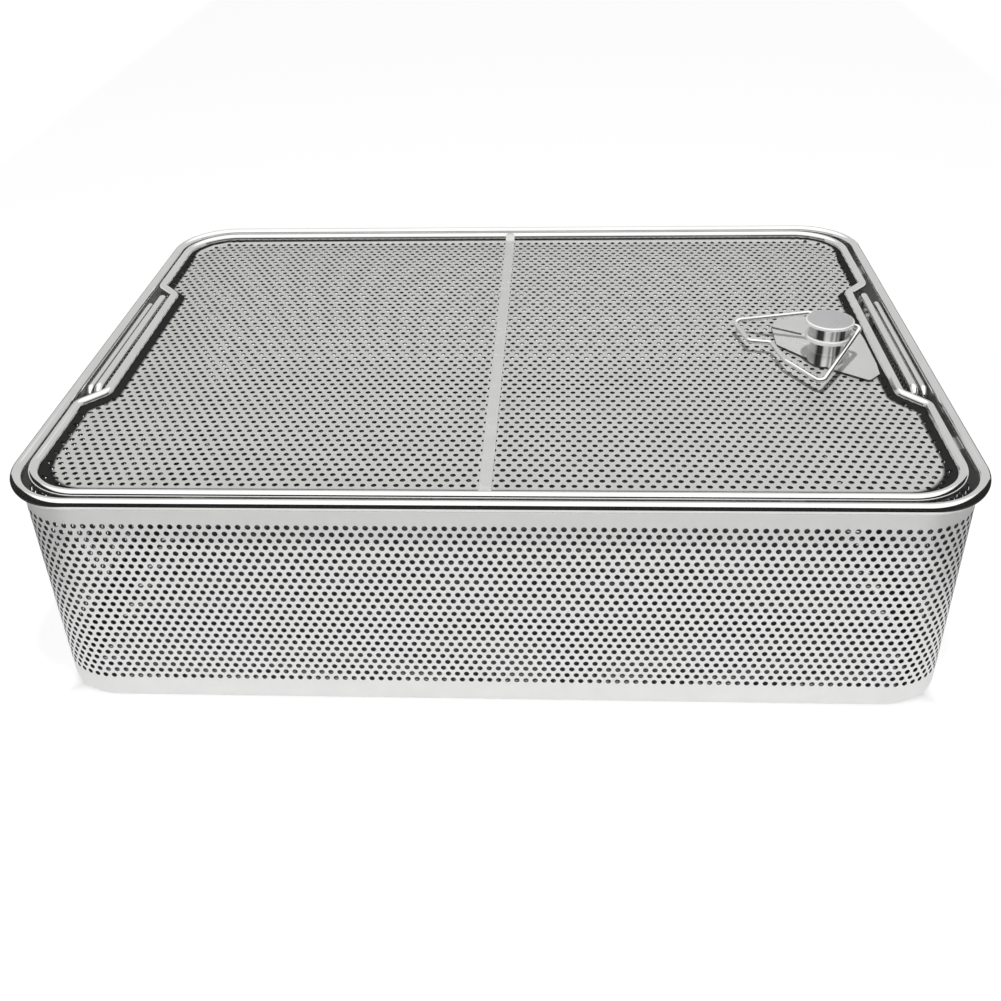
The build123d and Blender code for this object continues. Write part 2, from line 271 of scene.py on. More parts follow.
def edge_round(radius, height, bend, steps=4):
    """Profile points of a rounded outer top edge, from the side up to the top."""
    return [
        (radius - bend + bend * cos(a), height - bend + bend * sin(a))
        for a in np.linspace(0, pi / 2, steps + 1)
    ]


def disc_profile(radius, bottom, top, low_edge, top_edge):
    """Profile of a turned disc, chamfered below and rounded above."""
    profile = [(0, bottom), (radius - low_edge, bottom), (radius, bottom + low_edge)]
    return profile + edge_round(radius, top, top_edge) + [(0, top)]


# Perforated sheet: hexagonal cells, each with a round hole, and plain sheet up to the outline

def cells(centres, pitch, row_scale=1.0):
    """Flat points and faces of the cells round each hole centre; pitch along the rows."""
    big = pitch / sqrt(3)
    corner_a = np.radians(30 + 60 * np.arange(CELL_SIDES))
    hole_a = np.radians(30 * np.arange(HOLE_SIDES))
    corners = np.stack([big * np.cos(corner_a), big * row_scale * np.sin(corner_a)], 1)
    holes = np.stack([HOLE_R * np.cos(hole_a), HOLE_R * np.sin(hole_a)], 1)
    local = np.concatenate([corners, holes])
    points = (centres[:, None, :] + local[None]).reshape(-1, 2)
    sectors = []
    for k in range(CELL_SIDES):
        along_hole = [CELL_SIDES + (2 * k + ahead) % HOLE_SIDES for ahead in (3, 2, 1)]
        sectors.append([k, (k + 1) % CELL_SIDES, *along_hole])
    sectors = np.array(sectors)
    faces = (np.arange(len(centres))[:, None, None] * CELL_POINTS + sectors[None]).reshape(-1, 5)
    return points, faces


def merged(points, faces, key_points=None, digits=4):
    """Joins equal points."""
    keys = np.round(points if key_points is None else key_points, digits) + 0.0
    _, first, inverse = np.unique(keys, axis=0, return_index=True, return_inverse=True)
    inverse = inverse.ravel()
    return points[first], [inverse[f] for f in faces]


def border_edges(faces, count):
    """Directed edges used by one face only."""
    edges = np.concatenate([np.stack([f, np.roll(f, -1, 1)], -1).reshape(-1, 2) for f in faces])
    codes = edges[:, 0].astype(np.int64) * count + edges[:, 1]
    back = edges[:, 1].astype(np.int64) * count + edges[:, 0]
    return edges[~np.isin(codes, back)]


def thickened(flat, faces, place_top, place_bottom):
    """Closed sheet from flat faces, counter-clockwise seen from its top side."""
    n = len(flat)
    top = place_top(flat)
    bottom = place_bottom(flat)
    rim = border_edges(faces, n)
    walls = np.stack([rim[:, 0] + n, rim[:, 1] + n, rim[:, 1], rim[:, 0]], 1)
    below = [f[:, ::-1] + n for f in faces]
    return np.concatenate([top, bottom]), list(faces) + below + [walls]


def inside(points, outline):
    """Whether each point lies inside a closed outline."""
    x, y = points[:, 0][:, None], points[:, 1][:, None]
    x0, y0 = outline[:, 0][None], outline[:, 1][None]
    x1, y1 = np.roll(outline[:, 0], -1)[None], np.roll(outline[:, 1], -1)[None]
    crosses = (y0 > y) != (y1 > y)
    with np.errstate(divide="ignore", invalid="ignore"):
        at = (x1 - x0) * (y - y0) / (y1 - y0) + x0
    return (crosses & (x < at)).sum(1) % 2 == 1


def distance(points, outline):
    """Distance of each point from a closed outline."""
    best = np.full(len(points), 1e9)
    for a, b in zip(outline, np.roll(outline, -1, 0)):
        run = b - a
        t = np.clip(((points - a) @ run) / (run @ run), 0, 1)
        gap = np.linalg.norm(points - (a + t[:, None] * run), axis=1)
        best = np.minimum(best, gap)
    return best


def lattice(pitch, row_gap, rows, half_x):
    """Staggered hole centres in rows along X, row numbers from -rows to rows."""
    centres = []
    count = int(half_x / pitch) + 2
    for j in range(-rows, rows + 1):
        shift = pitch / 2 if j % 2 else 0.0
        xs = np.arange(-count, count + 1) * pitch + shift
        centres.append(np.stack([xs, np.full(len(xs), j * row_gap)], 1))
    return np.concatenate(centres)


def loop_edges(start, count):
    return [(start + i, start + (i + 1) % count) for i in range(count)]


def triangulated(seeds, edges):
    """Places and counter-clockwise triangles of a flat mesh through the seeds that keeps the edges."""
    places, _, triangles, _, _, _ = delaunay_2d_cdt([Vector(p) for p in seeds], edges, [], 1, 1e-5)
    places = np.array([tuple(p) for p in places])
    triangles = np.array([t for t in triangles if len(t) == 3])
    run = places[triangles]
    ahead, over = run[:, 1] - run[:, 0], run[:, 2] - run[:, 0]
    turned_over = ahead[:, 0] * over[:, 1] - ahead[:, 1] * over[:, 0] < 0
    triangles[turned_over] = triangles[turned_over][:, ::-1]
    return places, triangles


def perforated_flat(outline, centres, pitch, row_scale=1.0, bores=(), slack=0.002):
    """Flat points and faces of a sheet inside an outline, holes at the centres, round bores left out."""
    outline = np.asarray(outline, float)
    flat, sector = cells(centres, pitch, row_scale)
    is_hole = np.tile(np.arange(CELL_POINTS) >= CELL_SIDES, len(centres))
    keys = np.round(flat, 4) + 0.0
    _, first, inverse = np.unique(keys, axis=0, return_index=True, return_inverse=True)
    flat, is_hole, sector = flat[first], is_hole[first], inverse.ravel()[sector]
    rim = border_edges([sector], len(flat))
    rim = rim[~is_hole[rim[:, 0]]]
    used, position = np.unique(rim, return_inverse=True)
    seeds = list(flat[used])
    edges = [tuple(int(v) for v in e) for e in position.reshape(rim.shape)]
    for loop in [outline, *bores]:
        edges += loop_edges(len(seeds), len(loop))
        seeds += list(loop)
    places, triangles = triangulated(seeds, edges)
    middle = places[triangles].mean(1)
    keep = inside(middle, outline)
    for bore in bores:
        keep &= ~inside(middle, np.asarray(bore))
    tree = KDTree(len(centres))
    for i, centre in enumerate(centres):
        tree.insert((centre[0], centre[1], 0), i)
    tree.balance()
    nearest = np.array([tree.find((m[0], m[1], 0))[1] for m in middle])
    offset = np.abs(middle - centres[nearest])
    big = pitch / sqrt(3) * row_scale
    within = offset[:, 0] < pitch / 2 + slack
    within &= offset[:, 1] + offset[:, 0] / sqrt(3) * row_scale < big + slack
    triangles = triangles[keep & ~within]
    points = np.concatenate([flat, places])
    return merged(points, [sector, triangles + len(flat)], digits=3)


def rounded_rectangle(half_x, half_y, bend, step=6.0):
    corners = [(half_x, -half_y, 0), (half_x, half_y, 0), (-half_x, half_y, 0), (-half_x, -half_y, 0)]
    return np.array([tuple(p)[:2] for p in rounded(corners, bend, True, step)])


def circle(centre, radius, count=32):
    a = 2 * pi * np.arange(count) / count
    return np.stack([centre[0] + radius * np.cos(a), centre[1] + radius * np.sin(a)], 1)


def lid_corners():
    right = [
        (LID_X, -LID_Y, LID_CORNER), (LID_X, -JOG_OUT, JOG_BEND), (JOG_X, -JOG_IN, JOG_BEND),
        (JOG_X, JOG_IN, JOG_BEND), (LID_X, JOG_OUT, JOG_BEND), (LID_X, LID_Y, LID_CORNER),
    ]
    corners = right + [(-x, -y, b) for x, y, b in right]
    return [Vector((x, y, 0)) for x, y, b in corners], [b for x, y, b in corners]


def level(z):
    return lambda flat: np.column_stack([flat, np.full(len(flat), z)])


# Materials

def node_material(name):
    material = bpy.data.materials.new(name)
    material.use_nodes = True
    tree = material.node_tree
    return material, tree, tree.nodes["Principled BSDF"]


def link(tree, a, b):
    tree.links.new(a, b)


def maths(tree, operation, *values):
    node = tree.nodes.new("ShaderNodeMath")
    node.operation = operation
    for slot, value in zip(node.inputs, values):
        if isinstance(value, (int, float)):
            slot.default_value = value
        else:
            link(tree, value, slot)
    return node.outputs[0]


def between(tree, value, low, high, at_low=0.0, at_high=1.0, course="SMOOTHSTEP"):
    """Step of a value from low to high."""
    node = tree.nodes.new("ShaderNodeMapRange")
    node.interpolation_type = course
    link(tree, value, node.inputs["Value"])
    for name, number in (("From Min", low), ("From Max", high), ("To Min", at_low), ("To Max", at_high)):
        if isinstance(number, (int, float)):
            node.inputs[name].default_value = number
        else:
            link(tree, number, node.inputs[name])
    return node.outputs[0]


def mixed(tree, share, a, b):
    node = tree.nodes.new("ShaderNodeMix")
    for slot, value in ((node.inputs[0], share), (node.inputs[2], a), (node.inputs[3], b)):
        if isinstance(value, (int, float)):
            slot.default_value = value
        else:
            link(tree, value, slot)
    return node.outputs[0]


def noise(tree, vector, scale, detail=2.0):
    node = tree.nodes.new("ShaderNodeTexNoise")
    node.inputs["Scale"].default_value = scale
    node.inputs["Detail"].default_value = detail
    link(tree, vector, node.inputs["Vector"])
    return node.outputs["Fac"]


def relief(tree, shader, height, strength, depth):
    node = tree.nodes.new("ShaderNodeBump")
    node.inputs["Strength"].default_value = strength
    node.inputs["Distance"].default_value = depth
    link(tree, height, node.inputs["Height"])
    link(tree, node.outputs["Normal"], shader.inputs["Normal"])


def ramp(tree, value, first, last, others=()):
    """Colours along a value, each stop a place and a colour."""
    node = tree.nodes.new("ShaderNodeValToRGB")
    stops = node.color_ramp.elements
    for stop, (at, colour) in zip(stops, (first, last)):
        stop.position = at
        stop.color = (*colour, 1)
    for at, colour in others:
        stops.new(at).color = (*colour, 1)
    link(tree, value, node.inputs["Fac"])
    return node.outputs["Color"]


# Painted shade along the lid wire: near black and without gloss where the marked share is low
EDGE_SHADE_NAME = "edge_shade_share"
EDGE_SHADE_TONE, EDGE_DARK, EDGE_PLAIN = 0.03, 0.8, 1.04
CLOUD_SCALE, CLOUD_DETAIL, CLOUD_LOW, CLOUD_HIGH, CLOUD_SHADE = 60.0, 4.0, 0.3, 0.7, 0.95
GRAIN_DETAIL, GRAIN_DEPTH = 3.0, 0.0002
PLAIN_SPECULAR = 0.5


def steel(name, colour, roughness, spread=0.05, bump=0.10, grain=900.0, gloss=1.0, edge=False):
    """Electropolished steel: cloudy gloss and a fine grain.

    It is satin where gloss is below one, and painted dark at a marked edge: painted shade along the lid wire.
    """
    material, tree, shader = node_material(name)
    shader.inputs["Metallic"].default_value = gloss
    coords = tree.nodes.new("ShaderNodeTexCoord").outputs["Object"]
    cloud = noise(tree, coords, CLOUD_SCALE, CLOUD_DETAIL)
    rough = between(tree, cloud, CLOUD_LOW, CLOUD_HIGH, roughness - spread, roughness + spread, "LINEAR")
    link(tree, rough, shader.inputs["Roughness"])
    shaded = [c * CLOUD_SHADE for c in colour]
    shade = ramp(tree, cloud, (CLOUD_LOW, shaded), (CLOUD_HIGH, colour))
    # Painted shade: towards the marked edge the colour goes near black and the gloss goes off
    if edge:
        share = tree.nodes.new("ShaderNodeAttribute")
        share.attribute_name = EDGE_SHADE_NAME
        plain = between(tree, share.outputs["Fac"], EDGE_DARK, EDGE_PLAIN)
        edge_shaded = tree.nodes.new("ShaderNodeMix")
        edge_shaded.data_type = "RGBA"
        link(tree, plain, edge_shaded.inputs["Factor"])
        edge_shaded.inputs["A"].default_value = (EDGE_SHADE_TONE, EDGE_SHADE_TONE, EDGE_SHADE_TONE, 1)
        link(tree, shade, edge_shaded.inputs["B"])
        shade = edge_shaded.outputs["Result"]
        link(tree, maths(tree, "MULTIPLY", plain, gloss), shader.inputs["Metallic"])
        link(tree, maths(tree, "MULTIPLY", plain, PLAIN_SPECULAR), shader.inputs["Specular IOR Level"])
    link(tree, shade, shader.inputs["Base Color"])
    relief(tree, shader, noise(tree, coords, grain, GRAIN_DETAIL), bump, GRAIN_DEPTH)
    return material


wall_steel = steel("wall_steel", (0.93, 0.93, 0.92), 0.40, bump=0.08, gloss=0.3)
lid_steel = steel("lid_steel", (0.65, 0.65, 0.63), 0.36, gloss=0.12, edge=True)
# Near-black and darker grey steel for insides, undersides, hole walls and creases: painted shade
inner_shade_steel = steel("inner_shade_steel", (0.11, 0.11, 0.11), 0.38)
band_shade_steel = steel("band_shade_steel", (0.34, 0.34, 0.34), 0.38, gloss=0.5)
# Near-white steel for the flange, the cap's edge and the pin: a painted highlight
ring_highlight_steel = steel("ring_highlight_steel", (0.95, 0.95, 0.94), 0.20, spread=0.04, bump=0.04, gloss=0.4)
plain_steel = steel("plain_steel", (0.70, 0.70, 0.69), 0.25, bump=0.08, gloss=0.25)
wire_steel = steel("wire_steel", (0.82, 0.82, 0.81), 0.07, spread=0.02, bump=0.02, grain=500.0)
cap_steel = steel("cap_steel", (0.52, 0.51, 0.52), 0.30, bump=0.06, gloss=0.25)


# Painted reflection on the turned steel: bearing from the back, clockwise seen from above, as a part of a
# full turn, and how light the steel is painted there
TURNED_REFLECTION_BACK = 0.7
TURNED_REFLECTION_STREAKS = [
    (0.30, 0.45), (0.375, 0.50), (0.395, 0.02), (0.435, 0.02), (0.455, 0.55), (0.47, 0.20), (0.485, 1.0),
    (0.505, 0.35), (0.525, 1.0), (0.555, 0.95), (0.575, 0.05), (0.62, 0.02), (0.65, 0.50), (0.76, 0.60),
]
TURNED_METAL, TURNED_ROUGH = 0.25, 0.22
GROOVES_ACROSS, GROOVES_ALONG, GROOVES_BUMP, GROOVES_DEPTH = 60.0, 6000.0, 0.25, 0.0001


def turned(name):
    """Turned steel round the lock's axis: upright streaks of light and dark, a painted reflection, over fine
    grooves.
    """
    material, tree, shader = node_material(name)
    shader.inputs["Metallic"].default_value = TURNED_METAL
    shader.inputs["Roughness"].default_value = TURNED_ROUGH
    coords = tree.nodes.new("ShaderNodeTexCoord")
    from_axis = tree.nodes.new("ShaderNodeMapping")
    from_axis.inputs["Location"].default_value = tuple(-LOCK * MM)
    link(tree, coords.outputs["Object"], from_axis.inputs["Vector"])
    parts = tree.nodes.new("ShaderNodeSeparateXYZ")
    link(tree, from_axis.outputs["Vector"], parts.inputs["Vector"])
    bearing = maths(tree, "ARCTAN2", parts.outputs["X"], parts.outputs["Y"])
    part_turn = maths(tree, "FRACT", maths(tree, "DIVIDE", bearing, 2 * pi))
    # Painted reflection: light and dark streaks by bearing round the axis
    back = (TURNED_REFLECTION_BACK,) * 3
    streaks = [(at, (tone,) * 3) for at, tone in TURNED_REFLECTION_STREAKS]
    link(tree, ramp(tree, part_turn, (0.0, back), (1.0, back), streaks), shader.inputs["Base Color"])
    stretch = tree.nodes.new("ShaderNodeMapping")
    stretch.inputs["Scale"].default_value = (GROOVES_ACROSS, GROOVES_ACROSS, GROOVES_ALONG)
    link(tree, from_axis.outputs["Vector"], stretch.inputs["Vector"])
    relief(tree, shader, noise(tree, stretch.outputs["Vector"], 1.0), GROOVES_BUMP, GROOVES_DEPTH)
    return material


turned_steel = turned("turned_steel")

# The solids that stay in view
slot_steels = {
    "perforated_sheet": lid_steel, "plain_sheet": plain_steel,
    "polished_wire": wire_steel, "turned_steel": turned_steel,
}
for subpart in frame["record"]["subparts"]:
    for holder in frame["nodes"][subpart["node"]].material_slots:
        holder.material = slot_steels[subpart["material_slot"]]


# Basket

def around(half_x, half_y, bend):
    """Function from distance along a rounded rectangle to place and outward normal."""
    straight_x, straight_y = 2 * (half_x - bend), 2 * (half_y - bend)
    arc = pi / 2 * bend
    total = 2 * (straight_x + straight_y) + 4 * arc

    def place(s):
        s = np.mod(s, total)
        x = np.zeros_like(s)
        y = np.zeros_like(s)
        nx = np.zeros_like(s)
        ny = np.zeros_like(s)
        start = 0.0
        corner = [(half_x - bend, -half_y + bend), (half_x - bend, half_y - bend),
                  (-half_x + bend, half_y - bend), (-half_x + bend, -half_y + bend)]
        runs = [
            ((-half_x + bend, -half_y), (1, 0), straight_x),
            ((half_x, -half_y + bend), (0, 1), straight_y),
            ((half_x - bend, half_y), (-1, 0), straight_x),
            ((-half_x, half_y - bend), (0, -1), straight_y),
        ]
        for k, ((px, py), (dx, dy), length) in enumerate(runs):
            on = (s >= start) & (s < start + length)
            x[on] = px + dx * (s[on] - start)
            y[on] = py + dy * (s[on] - start)
            nx[on], ny[on] = dy, -dx
            start += length
            on = (s >= start) & (s < start + arc)
            a = (s[on] - start) / bend + np.arctan2(-dx, dy)
            cx, cy = corner[k]
            x[on] = cx + bend * np.cos(a)
            y[on] = cy + bend * np.sin(a)
            nx[on], ny[on] = np.cos(a), np.sin(a)
            start += arc
        return np.stack([x, y], 1), np.stack([nx, ny], 1)

    return place, total


SEAM_SHIFT = 1e-4


def make_wall():
    """Wall band with staggered holes all round, plain strips below and above them."""
    place, total = around(WALL_X, WALL_Y, WALL_CORNER)
    count = round(total / WALL_PITCH)
    pitch = total / count
    scale = WALL_ROW_GAP / (pitch * sqrt(3) / 2)
    centres = []
    for j in range(WALL_ROWS):
        s = np.arange(count) * pitch + (pitch / 2 if j % 2 else 0.0)
        centres.append(np.stack([s, np.full(count, WALL_ROW_0 + j * WALL_ROW_GAP)], 1))
    flat, sector = cells(np.concatenate(centres), pitch, scale)
    half = pitch / 2
    big = pitch / sqrt(3) * scale
    bands = []
    band_points = []
    for j, edge, sign in ((0, WALL_BOTTOM, -1), (WALL_ROWS - 1, WALL_TOP, 1)):
        shift = half if j % 2 else 0.0
        row = WALL_ROW_0 + j * WALL_ROW_GAP
        s = np.arange(2 * count) * half + shift
        inner = row + sign * np.where(np.arange(2 * count) % 2 == 0, big, big / 2)
        base = len(flat) + sum(len(b) for b in band_points)
        band_points.append(np.stack([s, inner], 1))
        band_points.append(np.stack([s, np.full(2 * count, edge)], 1))
        i = np.arange(2 * count)
        k = (i + 1) % (2 * count)
        near, near_next = base + i, base + k
        far, far_next = base + 2 * count + i, base + 2 * count + k
        if sign > 0:
            bands.append(np.stack([near, near_next, far_next, far], 1))
        else:
            bands.append(np.stack([far, far_next, near_next, near], 1))
    points = np.concatenate([flat, *band_points])
    keys = points.copy()
    # Points on either side of the band's seam get one key
    keys[:, 0] = np.mod(keys[:, 0] + SEAM_SHIFT, total)
    keys = np.round(keys, 3)
    flat, faces = merged(points, [sector, np.concatenate(bands)], keys, 3)

    def side(depth):
        def at(points):
            spot, normal = place(points[:, 0])
            spot = spot - normal * depth
            return np.column_stack([spot, points[:, 1]])
        return at

    points, faces = thickened(flat, faces, side(0.0), side(SHEET))
    # Outside in wall steel. Inside and hole walls near black, inside of the plain strips darker grey: painted
    # shade in the basket
    return new_object("wall_sheet", points, faces, looks=(0, 0, 1, 2, 1))


dress(make_wall(), "basket", "perforated_sheet", (wall_steel, inner_shade_steel, band_shade_steel), "basket_wall")


BEND_ANGLES, EDGE_NEAR = 7, 0.05


def make_floor():
    """Perforated flat floor, its edge turned up round a small radius."""
    flat_x, flat_y = WALL_X - FLOOR_EDGE, WALL_Y - FLOOR_EDGE
    flat_corner = WALL_CORNER - FLOOR_EDGE
    outline = rounded_rectangle(flat_x, flat_y, flat_corner)
    centres = lattice(LID_PITCH, LID_ROW_GAP, int(flat_y / LID_ROW_GAP), flat_x)
    keep = inside(centres, outline) & (distance(centres, outline) > FLOOR_MARGIN)
    flat, faces = perforated_flat(outline, centres[keep], LID_PITCH, LID_ROW_SCALE)
    n = len(flat)
    points = [np.column_stack([flat, np.zeros(n)]), np.column_stack([flat, np.full(n, SHEET)])]
    all_faces = [f[:, ::-1] for f in faces] + [f + n for f in faces]
    # Underside in wall steel. Upper side, hole walls and inside of the bend near black: painted shade in the
    # basket
    looks = [0] * len(faces) + [1] * len(faces)
    rim = border_edges(faces, n)
    middle = flat[rim[:, 0]]
    outer = distance(middle, outline) < EDGE_NEAR
    hole_rim = rim[~outer]
    start, stop = hole_rim[:, 0], hole_rim[:, 1]
    all_faces.append(np.stack([stop, start, start + n, stop + n], 1))
    looks.append(1)
    edge = rim[outer]
    order = [edge[0, 0]]
    follow = dict(edge)
    while follow[order[-1]] != order[0]:
        order.append(follow[order[-1]])
    order = np.array(order)
    loop = flat[order]
    ahead = np.roll(loop, -1, 0) - loop
    behind = loop - np.roll(loop, 1, 0)
    ahead /= np.linalg.norm(ahead, axis=1)[:, None]
    behind /= np.linalg.norm(behind, axis=1)[:, None]
    along = ahead + behind
    along /= np.linalg.norm(along, axis=1)[:, None]
    out = np.stack([along[:, 1], -along[:, 0]], 1)
    outer_rings = []
    for a in np.linspace(0, pi / 2, BEND_ANGLES)[1:]:
        outer_rings.append((FLOOR_EDGE * sin(a), FLOOR_EDGE - FLOOR_EDGE * cos(a)))
    outer_rings.append((FLOOR_EDGE, WALL_BOTTOM))
    bend = FLOOR_EDGE - SHEET
    inner_rings = [(bend, WALL_BOTTOM)]
    for a in np.linspace(pi / 2, 0, BEND_ANGLES)[:-1]:
        inner_rings.append((bend * sin(a), FLOOR_EDGE - bend * cos(a)))
    rings = outer_rings + inner_rings
    base = 2 * n
    previous = order
    for k, (reach, height) in enumerate(rings):
        ring = np.column_stack([loop + out * reach, np.full(len(loop), height)])
        points.append(ring)
        current = base + np.arange(len(loop))
        base += len(loop)
        all_faces.append(np.stack([previous, np.roll(previous, -1), np.roll(current, -1), current], 1))
        looks.append(0 if k < len(outer_rings) else 1)
        previous = current
    top = order + n
    all_faces.append(np.stack([previous, np.roll(previous, -1), np.roll(top, -1), top], 1))
    looks.append(1)
    return new_object("floor_pan", np.concatenate(points), all_faces, looks=looks)


dress(make_floor(), "basket", "perforated_sheet", (wall_steel, inner_shade_steel), "basket_floor")


def make_hem():
    """Folded hem round the wall's top edge, its lower end a fine line under the rim, painted dark as shade.
    """
    place, total = around(WALL_X, WALL_Y, WALL_CORNER)
    spot, normal = place(np.linspace(0, total, HEM_POINTS, endpoint=False))
    profile = [(HAIR, HEM_LOW + HEM_RISE), (HEM_OUT, HEM_LOW), (HEM_OUT, WALL_TOP), (HAIR, WALL_TOP)]
    points = [np.column_stack([spot + normal * out, np.full(len(spot), z)]) for out, z in profile]
    n = len(spot)
    k = np.arange(n)
    m = (k + 1) % n
    rings = []
    for i in range(len(profile)):
        j = (i + 1) % len(profile)
        rings.append(np.stack([i * n + k, i * n + m, j * n + m, j * n + k], 1))
    return new_object("wall_hem", np.concatenate(points), rings, looks=(1, 0, 0, 0))


dress(make_hem(), "basket", "perforated_sheet", (wall_steel, inner_shade_steel))

rim_points = [
    (RIM_X, -RIM_Y, RIM_Z), (RIM_X, RIM_Y, RIM_Z), (-RIM_X, RIM_Y, RIM_Z), (-RIM_X, -RIM_Y, RIM_Z),
]
rim = wire("rim", rim_points, RIM_CORNER, RIM_R, True, sides=36, step=3.0)
dress(rim, "basket", "polished_wire", (wire_steel,), "rim_tube")

for side_name, side in (("left", -1), ("right", 1)):
    bar = wire(
        "guide_bar_" + side_name + "_wire",
        [(side * BAR_X, -BAR_Y, BAR_FOOT), (side * BAR_X, -BAR_Y, BAR_Z),
         (side * BAR_X, BAR_Y, BAR_Z), (side * BAR_X, BAR_Y, BAR_FOOT)],
        HANDLE_BEND, HANDLE_R, False,
    )
    dress(bar, "basket", "polished_wire", (wire_steel,), "guide_bar_" + side_name)

    grip = wire(
        "handle_" + side_name + "_wire",
        [(side * HANDLE_X, -HANDLE_Y, HANDLE_FOOT), (side * HANDLE_X, -HANDLE_Y, RIM_Z),
         (side * HANDLE_X, HANDLE_Y, RIM_Z), (side * HANDLE_X, HANDLE_Y, HANDLE_FOOT)],
        HANDLE_BEND, HANDLE_R, False,
    )
    dress(grip, side_name + "_handle", "polished_wire", (wire_steel,), "handle_" + side_name)
    for end_name, end in (("front", -1), ("back", 1)):
        foot = revolved(
            "handle_" + side_name + "_foot_" + end_name,
            disc_profile(FOOT_R, HANDLE_FOOT, HANDLE_FOOT + FOOT_HEIGHT, FOOT_EDGE, FOOT_EDGE),
            (side * HANDLE_X, end * HANDLE_Y), 40,
        )
        dress(foot, side_name + "_handle", "polished_wire", (wire_steel,))


# Lid

def make_lid():
    """Perforated lid sheet, flat inside, its edge curved up to the wire."""
    corners, bends = lid_corners()
    outline = np.array([tuple(p + LID_SHIFT)[:2] for p in rounded(corners, bends, True)])
    centres = lattice(LID_PITCH, LID_ROW_GAP, LID_ROWS_HALF, LID_X)
    centres[:, 1] += LID_ROW_PHASE
    lock = np.array(LOCK[:2])
    keep = inside(centres, outline) & (distance(centres, outline) > LID_MARGIN)
    keep &= centres[:, 1] > LID_FRONT_MARGIN - LID_Y
    keep &= np.linalg.norm(centres - lock, axis=1) > LID_LOCK_KEEP
    bore = circle(lock, LID_BORE)
    flat, faces = perforated_flat(outline, centres[keep], LID_PITCH, LID_ROW_SCALE, [bore])

    def raised(z):
        def at(flat):
            rise = np.clip((LID_DISH - distance(flat, outline)) / (LID_DISH - LID_R), 0, 1)
            return np.column_stack([flat, z + LID_DISH_RISE * rise ** LID_DISH_POWER])
        return at

    points, faces = thickened(flat, faces, raised(PANEL_TOP), raised(PANEL_BOTTOM))
    # Top in lid steel. Underside and edge walls near black: painted shade under the lid and in its holes
    sheet = new_object("lid_sheet", points, faces, looks=(0, 0, 1, 1, 1))
    # Share of the painted shade band along the wire, widest at the front and narrowest at the back
    to_front = np.clip((-flat[:, 1] - LID_Y + 2 * EDGE_TURN) / EDGE_TURN, 0, 1)
    to_back = np.clip((flat[:, 1] - LID_Y + 2 * EDGE_TURN) / EDGE_TURN, 0, 1)
    width = EDGE_SIDE + (EDGE_FRONT - EDGE_SIDE) * to_front + (EDGE_BACK - EDGE_SIDE) * to_back
    share = np.tile(np.minimum(distance(flat, outline) / width, EDGE_MOST), 2)
    sheet.data.attributes.new(EDGE_SHADE_NAME, "FLOAT", "POINT").data.foreach_set("value", share)
    return sheet


dress(make_lid(), "lid", "perforated_sheet", (lid_steel, inner_shade_steel), "lid_panel")

corner_places, corner_bends = lid_corners()
lid_wire = wire(
    "lid_wire", [Vector((x, y, LID_Z)) + LID_SHIFT for x, y, _ in corner_places], corner_bends, LID_R, True,
    sides=36, step=3.0,
)
dress(
    lid_wire, "lid", "polished_wire", (wire_steel,),
    "lid_wire_front", "lid_wire_back", "lid_wire_left", "lid_wire_right",
)


def eased(share):
    return share * share * (3 - 2 * share)


def make_strip():
    """Stiffening strip: flat, set down near its ends, its back end drawn up over the lid wire."""
    end = LID_Y - LID_R
    # Its points stand closer together where it bends
    middle = end - STRIP_END_RUN - 2.0
    across = np.linspace(-STRIP_W / 2, STRIP_W / 2, 13)
    tip = [0.0, 0.4, 1.0]
    set_down = np.linspace(2.0, STRIP_SET, 8)
    stepped = np.linspace(STRIP_SET + 0.3, STRIP_END_RUN, 12)
    front = -end + np.concatenate([tip, set_down, stepped])
    back = end - np.linspace(STRIP_END_RUN, 0.0, 25)
    over = end + np.linspace(0.4, LID_R, 6)
    along = np.concatenate([front, np.linspace(-middle, middle, 60), back, over])
    raised = PANEL_TOP + SHEET + STRIP_T
    x, y = np.meshgrid(across, along)
    arch = STRIP_ARCH * (1 - (2 * x / STRIP_W) ** 2)
    step = np.clip((y + end - STRIP_SET - arch) / STRIP_STEP + 0.5, 0, 1)
    top = raised - STRIP_STEP * (1 - eased(step))
    rise = np.clip((y - end + STRIP_RISE_RUN) / STRIP_RISE_RUN, 0, 1)
    top = top + (LID_Z + LID_R + STRIP_OVER - raised) * eased(rise)
    edge = np.abs(2 * x / STRIP_W)
    top = top - STRIP_EDGE_DROP * np.clip(edge - STRIP_EDGE_FROM, 0, 1) / (1 - STRIP_EDGE_FROM)
    taper = np.clip((y - end + STRIP_TAPER_RUN) / (LID_R + STRIP_TAPER_RUN), 0, 1)
    x = x * (1 - STRIP_TAPER * eased(taper))
    rows, columns = x.shape
    upper = np.column_stack([x.ravel() + STRIP_X, y.ravel(), top.ravel()])
    lower = upper - np.array([0, 0, STRIP_T])
    lower[:, 2] = np.maximum(lower[:, 2], PANEL_TOP + HAIR)
    i = (np.arange(rows - 1)[:, None] * columns + np.arange(columns - 1)[None]).ravel()
    quads = np.stack([i, i + 1, i + 1 + columns, i + columns], 1)
    n = rows * columns
    rim = border_edges([quads], n)
    walls = np.stack([rim[:, 0] + n, rim[:, 1] + n, rim[:, 1], rim[:, 0]], 1)
    faces = [quads, quads[:, ::-1] + n, walls]
    return new_object("strip_sheet", np.concatenate([upper, lower]), faces, 30.0)


dress(make_strip(), "lid", "plain_sheet", (plain_steel,), "lid_stiffener")


# Lock

